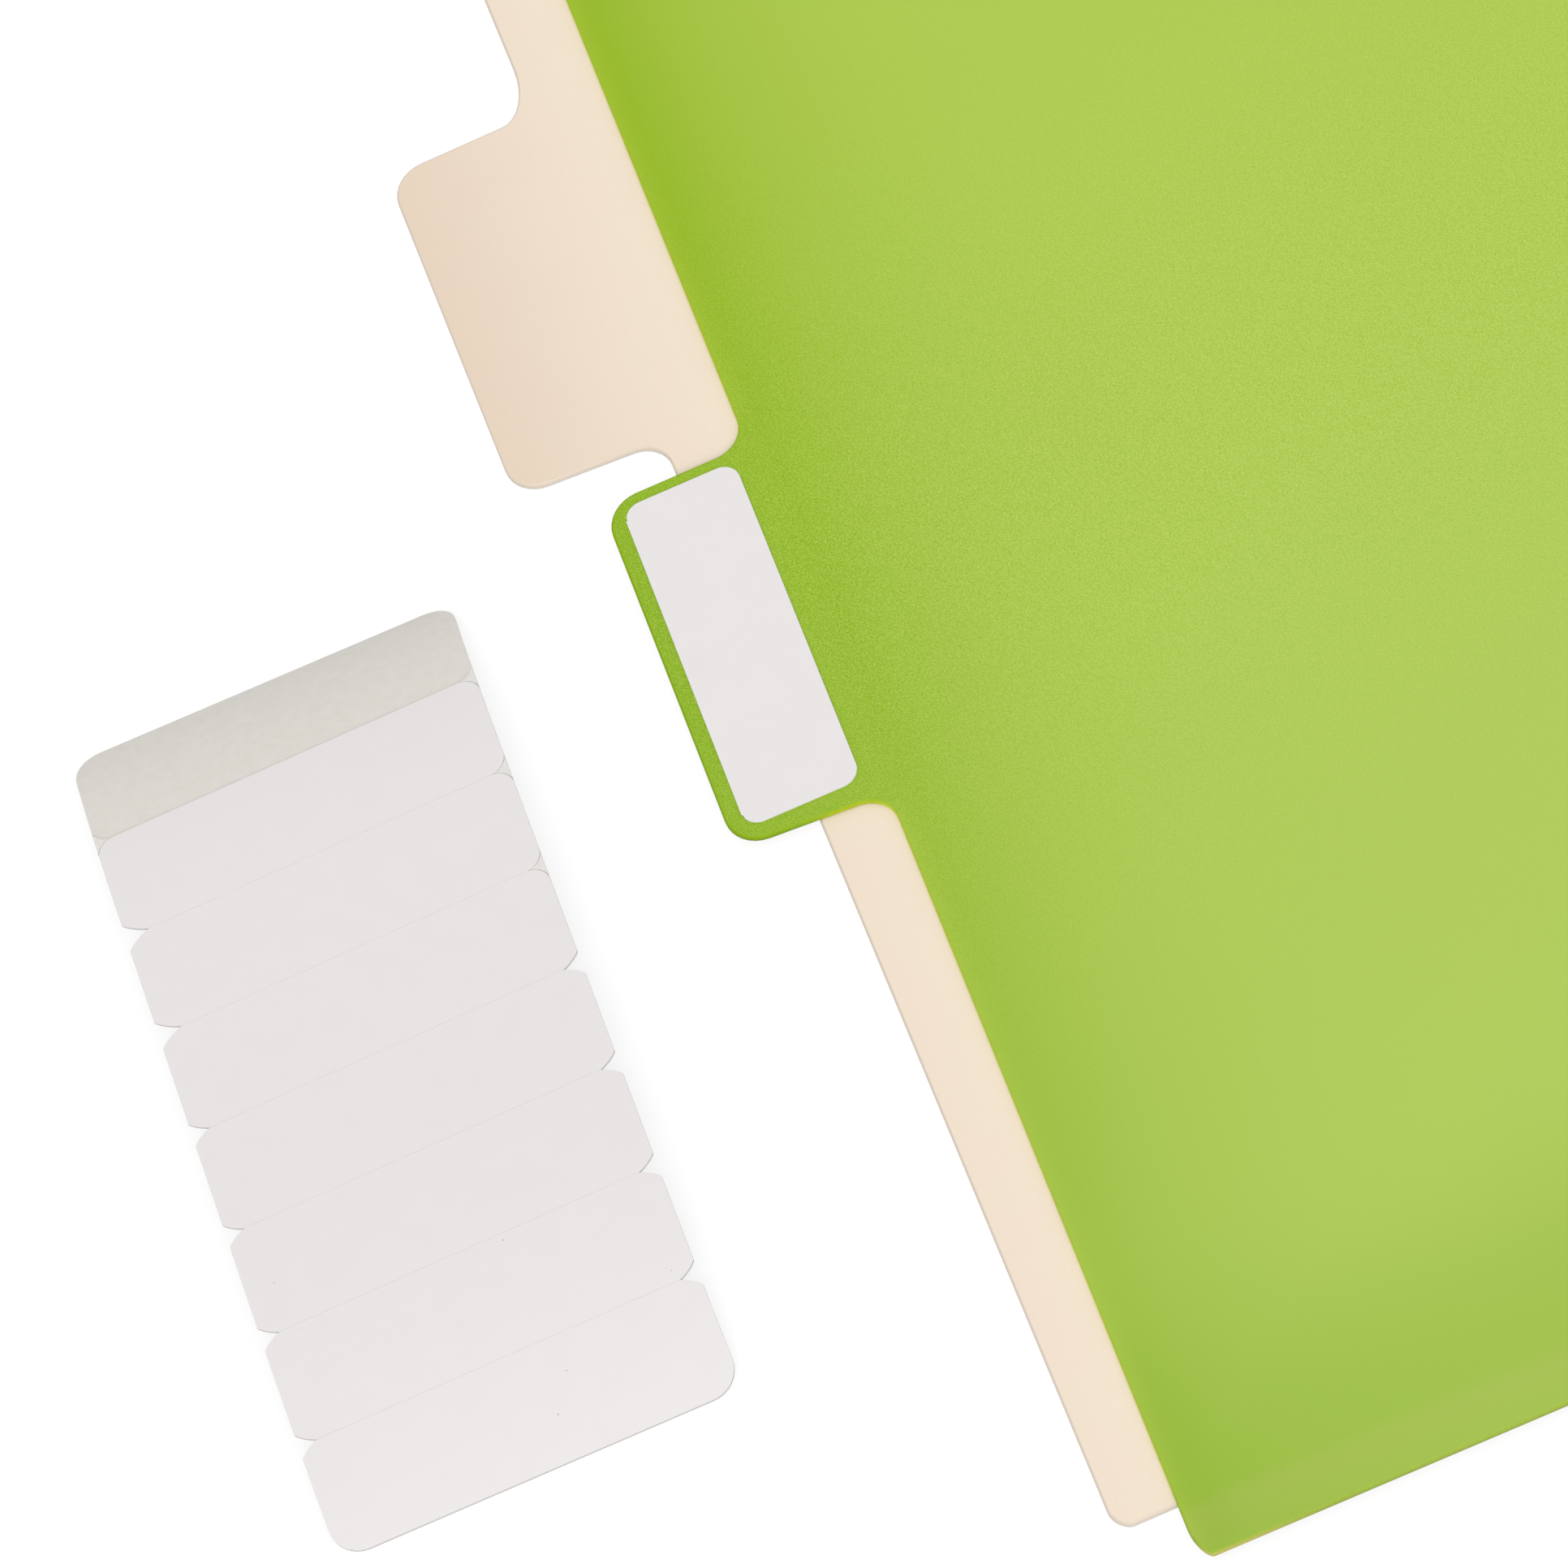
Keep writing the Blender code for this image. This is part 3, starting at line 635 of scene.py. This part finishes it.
    # The sheet's arch: its height falls with a power of the way from the middle, and its plan gets shorter.
    thick = add(tree, "ShaderNodeSeparateXYZ", {0: add(tree, "GeometryNodeInputPosition").outputs[0]}).outputs
    along = add(tree, "ShaderNodeMath", {0: thick[1], 1: given["Along"]}, operation="ADD").outputs[0]
    is_upper = add(tree, "ShaderNodeMath", {0: along, 1: 0.0}, operation="GREATER_THAN").outputs[0]
    bend = add(tree, "ShaderNodeMix", {
        0: is_upper, 2: given["Lower Bend"], 3: given["Upper Bend"],
    }).outputs[0]
    crown = add(tree, "ShaderNodeMath", {
        0: thick[0], 1: given["Lean"], 2: given["Arch"],
    }, operation="MULTIPLY_ADD").outputs[0]
    way = add(tree, "ShaderNodeMath", {0: along, 1: given["Half Sheet"]}, operation="DIVIDE").outputs[0]
    far = add(tree, "ShaderNodeMath", {0: way}, operation="ABSOLUTE").outputs[0]
    fall = add(tree, "ShaderNodeMath", {0: far, 1: bend}, operation="POWER").outputs[0]
    lift = add(tree, "ShaderNodeMath", {0: 1.0, 1: fall}, operation="SUBTRACT").outputs[0]
    lift = add(tree, "ShaderNodeMath", {0: lift, 1: crown, 2: thick[2]}, operation="MULTIPLY_ADD").outputs[0]
    twice = add(tree, "ShaderNodeMath", {0: bend, 1: 2.0, 2: -1.0}, operation="MULTIPLY_ADD").outputs[0]
    shorter = add(tree, "ShaderNodeMath", {0: far, 1: twice}, operation="POWER").outputs[0]
    for factor in (bend, bend, crown, crown):
        shorter = add(tree, "ShaderNodeMath", {0: shorter, 1: factor}, operation="MULTIPLY").outputs[0]
    for factor in (twice, 2.0, given["Half Sheet"]):
        shorter = add(tree, "ShaderNodeMath", {0: shorter, 1: factor}, operation="DIVIDE").outputs[0]
    towards = add(tree, "ShaderNodeMath", {0: way}, operation="SIGN").outputs[0]
    shorter = add(tree, "ShaderNodeMath", {0: shorter, 1: towards}, operation="MULTIPLY").outputs[0]
    plan = add(tree, "ShaderNodeMath", {0: along, 1: shorter}, operation="SUBTRACT").outputs[0]
    bent = add(tree, "ShaderNodeCombineXYZ", {0: thick[0], 1: plan, 2: lift}).outputs[0]
    arched = add(tree, "GeometryNodeSetPosition", {"Geometry": closed, "Position": bent}).outputs[0]
    real = add(tree, "GeometryNodeRealizeInstances", {0: arched}).outputs[0]
    papered = add(tree, "GeometryNodeSetMaterial", {"Geometry": real, "Material": given["Paper"]}).outputs[0]
    add(tree, "NodeGroupOutput", {0: papered})
    return tree


def ring_lip_tree():
    """Geometry Nodes for the fine lips that the punch raises round the ring holes along a leaf."""
    tree = bpy.data.node_groups.new("punched_hole_lips", "GeometryNodeTree")
    tree.interface.new_socket("Geometry", in_out="INPUT", socket_type="NodeSocketGeometry")
    tree.interface.new_socket("Count", in_out="INPUT", socket_type="NodeSocketInt")
    for size in ("Pitch", "Hole Radius", "Lip"):
        tree.interface.new_socket(size, in_out="INPUT", socket_type="NodeSocketFloat")
    tree.interface.new_socket("Plastic", in_out="INPUT", socket_type="NodeSocketMaterial")
    tree.interface.new_socket("Geometry", in_out="OUTPUT", socket_type="NodeSocketGeometry")
    given = add(tree, "NodeGroupInput").outputs
    reach = add(tree, "ShaderNodeMath", {0: given["Count"], 1: 1.0}, operation="SUBTRACT").outputs[0]
    reach = add(tree, "ShaderNodeMath", {0: reach, 1: given["Pitch"]}, operation="MULTIPLY").outputs[0]
    reach = add(tree, "ShaderNodeMath", {0: reach, 1: -0.5}, operation="MULTIPLY").outputs[0]
    start = add(tree, "ShaderNodeCombineXYZ", {1: reach}).outputs[0]
    step = add(tree, "ShaderNodeCombineXYZ", {1: given["Pitch"]}).outputs[0]
    holes = add(tree, "GeometryNodeMeshLine", {
        "Count": given["Count"], "Start Location": start, "Offset": step,
    }).outputs[0]
    # The lip stands just outside the hole's rolled rim.
    radius = add(tree, "ShaderNodeMath", {0: given["Lip"], 1: LIP_AWAY}, operation="MULTIPLY").outputs[0]
    radius = add(tree, "ShaderNodeMath", {0: radius, 1: given["Hole Radius"]}, operation="ADD").outputs[0]
    rim = add(tree, "GeometryNodeCurvePrimitiveCircle", {
        "Resolution": HOLE_POINTS, "Radius": radius,
    }).outputs[0]
    bead = add(tree, "GeometryNodeCurvePrimitiveCircle", {
        "Resolution": LIP_POINTS, "Radius": given["Lip"],
    }).outputs[0]
    lip = add(tree, "GeometryNodeCurveToMesh", {"Curve": rim, "Profile Curve": bead}).outputs[0]
    smooth = add(tree, "GeometryNodeSetShadeSmooth", {0: lip}).outputs[0]
    placed = add(tree, "GeometryNodeInstanceOnPoints", {"Points": holes, "Instance": smooth}).outputs[0]
    real = add(tree, "GeometryNodeRealizeInstances", {0: placed}).outputs[0]
    finished = add(tree, "GeometryNodeSetMaterial", {
        "Geometry": real, "Material": given["Plastic"],
    }).outputs[0]
    add(tree, "NodeGroupOutput", {0: finished})
    return tree


def grown(name, tree, sizes, place):
    """The plain mesh that a tree gives for these sizes, moved to its place."""
    seed = bpy.data.objects.new(name + "_seed", bpy.data.meshes.new(name + "_seed"))
    bpy.context.collection.objects.link(seed)
    modifier = seed.modifiers.new("grow", "NODES")
    modifier.node_group = tree
    for item in tree.interface.items_tree:
        if item.in_out == "INPUT" and item.name in sizes:
            modifier[item.identifier] = sizes[item.name]
    seen = seed.evaluated_get(bpy.context.evaluated_depsgraph_get())
    mesh = bpy.data.meshes.new_from_object(seen)
    bpy.data.objects.remove(seed)
    mesh.name = name
    mesh.transform(place)
    piece = bpy.data.objects.new(name, mesh)
    bpy.context.collection.objects.link(piece)
    return piece


def soften(piece, degrees):
    """Smooth shading that stops at edges sharper than an angle."""
    piece.data.shade_smooth()
    piece.data.set_sharp_from_angle(angle=math.radians(degrees))


def paper_copy(name, node, finish):
    """A merged copy of a CAD sheet that already has its true outline and arch."""
    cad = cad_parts[node].data
    mesh = bpy.data.meshes.new(name)
    mesh.from_pydata([v.co for v in cad.vertices], [], [list(face.vertices) for face in cad.polygons])
    bm = bmesh.new()
    bm.from_mesh(mesh)
    bmesh.ops.remove_doubles(bm, verts=bm.verts, dist=1e-6)
    bm.to_mesh(mesh)
    bm.free()
    mesh.materials.append(finish)
    piece = bpy.data.objects.new(name, mesh)
    bpy.context.collection.objects.link(piece)
    soften(piece, PAPER_BEND)
    return piece


def fit(piece, body, slot, *nodes):
    """Puts a piece on its body and hides the CAD nodes it stands for; its slot is not used."""
    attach(piece, body)
    if nodes:
        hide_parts(*nodes)


def make_leaves():
    """The two leaves with the lips of their ring holes."""
    lips = ring_lip_tree()
    hole_line = LEAF_WIDTH / 2 - HOLE_MARGIN
    lip_sizes = {"Count": HOLE_COUNT, "Pitch": HOLE_PITCH, "Hole Radius": HOLE_DIAMETER / 2, "Lip": HOLE_LIP}

    buff_edge = buff_edge_finish()
    buff = die_cut_leaf("buff_leaf", "lower_leaf", 0.0, buff_sheet_finish(), buff_edge)
    fit(buff, "lower_leaf", "buff_leaf", "lower_leaf")
    place = Matrix.Translation((hole_line, 0, LEAF_THICKNESS))
    ring = grown("buff_hole_lips", lips, {**lip_sizes, "Plastic": buff_edge}, place)
    fit(ring, "lower_leaf", "buff_leaf")

    green_edge = green_edge_finish()
    green = die_cut_leaf("green_leaf", "upper_leaf", GREEN_BASE, green_sheet_finish(), green_edge)
    fit(green, "upper_leaf", "green_leaf", "upper_leaf")
    place = green_place() @ Matrix.Translation((hole_line, 0, GREEN_BASE + LEAF_THICKNESS))
    ring = grown("green_hole_lips", lips, {**lip_sizes, "Plastic": green_edge}, place)
    fit(ring, "upper_leaf", "green_leaf")


def green_place():
    """Where the green leaf lies, from its own middle."""
    return Matrix.Translation(GREEN_SHIFT) @ Matrix.Rotation(GREEN_TURN, 4, "Z")


def corner_at(side, cut):
    """The corner that a label has at a cut: round where the scrap is still on, else shaped by the notch."""
    if cut > LABEL_COUNT:
        return SHEET_END_CORNER
    if cut in SCRAPS[side]:
        return ROUND_CORNER
    return TORN_CORNER if cut in TORN[side] else NOTCHED_CORNER


def make_labels():
    """The label on the green tab, the spare labels, their liner and the scraps between their corners."""
    tree = label_tree()
    sizes = {
        "Length": LABEL_LENGTH, "Height": LABEL_HEIGHT, "Thickness": LABEL_THICKNESS,
        "Half Sheet": SHEET_LENGTH / 2, "Upper Bend": UPPER_BEND, "Lower Bend": LOWER_BEND,
        "Paper": label_paper_finish("label_paper_matt_coated", "#e4e0df", "#e7e3e2"),
    }
    flat = {
        "Along": 0.0, "Arch": 0.0, "Lean": 0.0, "Nick": NICK,
        "Paper": label_paper_finish("label_paper_matt_coated_pressed", "#e5e1e0", "#ebe7e6"),
    }
    round_ends = {name: ROUND_CORNER for name in ("Low Left", "Low Right", "High Left", "High Right")}
    tab = Matrix.Translation((*TAB_LABEL_PLACE, TAB_LABEL_BASE)) @ Matrix.Rotation(math.radians(90), 4, "Z")
    stuck = grown("stuck_label", tree, {**sizes, **flat, **round_ends}, green_place() @ tab)
    soften(stuck, PAPER_BEND)
    fit(stuck, "upper_leaf", "label_paper", "tab_label")

    sheet = Matrix.Translation(SHEET_PLACE) @ Matrix.Rotation(SHEET_TURN, 4, "Z")
    lifted = sheet @ Matrix.Translation((0, 0, LABEL_BASE))
    sizes.update({
        "Height": LABEL_PITCH - CUT_SEEN, "Thickness": LABEL_THICKNESS + GLUE_LINE,
        "Arch": ARCH_HEIGHT, "Lean": ARCH_LEAN,
    })
    for number in range(1, LABEL_COUNT + 1):
        corners = {
            "Low Left": corner_at("left", number + 1), "Low Right": corner_at("right", number + 1),
            "High Left": corner_at("left", number), "High Right": corner_at("right", number),
        }
        along = SHEET_LENGTH / 2 - number * LABEL_PITCH - LABEL_HEIGHT / 2
        spare = grown(f"spare_label_{number}", tree, {**sizes, **corners, "Along": along}, lifted)
        soften(spare, PAPER_BEND)
        fit(spare, f"label_{number}", "label_paper", f"label_{number}")

    liner = paper_copy("liner_sheet", "label_liner", liner_finish())
    fit(liner, "label_sheet", "release_liner", "label_liner")
    offcut = scrap_finish()
    for side, cuts in SCRAPS.items():
        for cut in cuts:
            scrap = paper_copy(f"corner_scrap_{side}_{cut}", f"waste_bit_{side}_{cut}", offcut)
            fit(scrap, "label_sheet", "scrap_paper", f"waste_bit_{side}_{cut}")


def make_floor():
    """White table top that takes a soft shadow and reads white to the camera."""
    bm = bmesh.new()
    bmesh.ops.create_grid(bm, x_segments=1, y_segments=1, size=TABLE_SIZE)
    mesh = bpy.data.meshes.new("table_top")
    bm.to_mesh(mesh)
    bm.free()
    mesh.transform(Matrix.Translation((0, 0, -TABLE_DROP)))
    floor = bpy.data.objects.new("table_top", mesh)
    bpy.context.collection.objects.link(floor)
    material, tree, shader = new_finish("white_card_table", **{
        "Base Color": (TABLE_GREY, TABLE_GREY, TABLE_GREY, 1), "Roughness": 1.0, "Specular IOR Level": 0.0,
        "Emission Color": (1, 1, 1, 1),
    })
    shown = plainly_seen(tree)
    glow = add(tree, "ShaderNodeMath", {0: shown, 1: TABLE_GLOW}, operation="MULTIPLY").outputs[0]
    tree.links.new(glow, shader.inputs["Emission Strength"])
    mesh.materials.append(material)


def make_light():
    """Even white surroundings and one large soft panel from the front."""
    world = bpy.data.worlds.new("white_room")
    world.use_nodes = True
    bpy.context.scene.world = world
    tree = world.node_tree
    tree.nodes.clear()
    strength = add(tree, "ShaderNodeMapRange", {0: plainly_seen(tree), 3: ROOM_LIGHT, 4: 1.0}).outputs[0]
    room = add(tree, "ShaderNodeBackground", {0: (1, 1, 1, 1), 1: strength}).outputs[0]
    add(tree, "ShaderNodeOutputWorld", {0: room})
    panel = bpy.data.lights.new("soft_panel", "AREA")
    panel.shape = "SQUARE"
    panel.size = PANEL_SIZE
    panel.energy = PANEL_POWER
    lamp = bpy.data.objects.new("soft_panel", panel)
    bpy.context.collection.objects.link(lamp)
    lamp.location = PANEL_PLACE
    lamp.rotation_euler = (-lamp.location).to_track_quat("-Z", "Y").to_euler()


def make_camera():
    """The photograph's viewpoint: a long lens looking down at the tabs."""
    data = bpy.data.cameras.new("photo_camera")
    data.lens = LENS
    data.sensor_width = SENSOR
    data.clip_start = 0.01
    camera = bpy.data.objects.new("photo_camera", data)
    bpy.context.collection.objects.link(camera)
    camera.matrix_world = (
        Matrix.Translation(CAMERA_PLACE)
        @ Matrix.Rotation(CAMERA_PAN, 4, "Z")
        @ Matrix.Rotation(CAMERA_TILT, 4, "X")
        @ Matrix.Rotation(CAMERA_ROLL, 4, "Z")
    )
    bpy.context.scene.camera = camera


make_camera()
make_leaves()
make_labels()
make_floor()
make_light()
bpy.context.scene.view_settings.view_transform = "Standard"
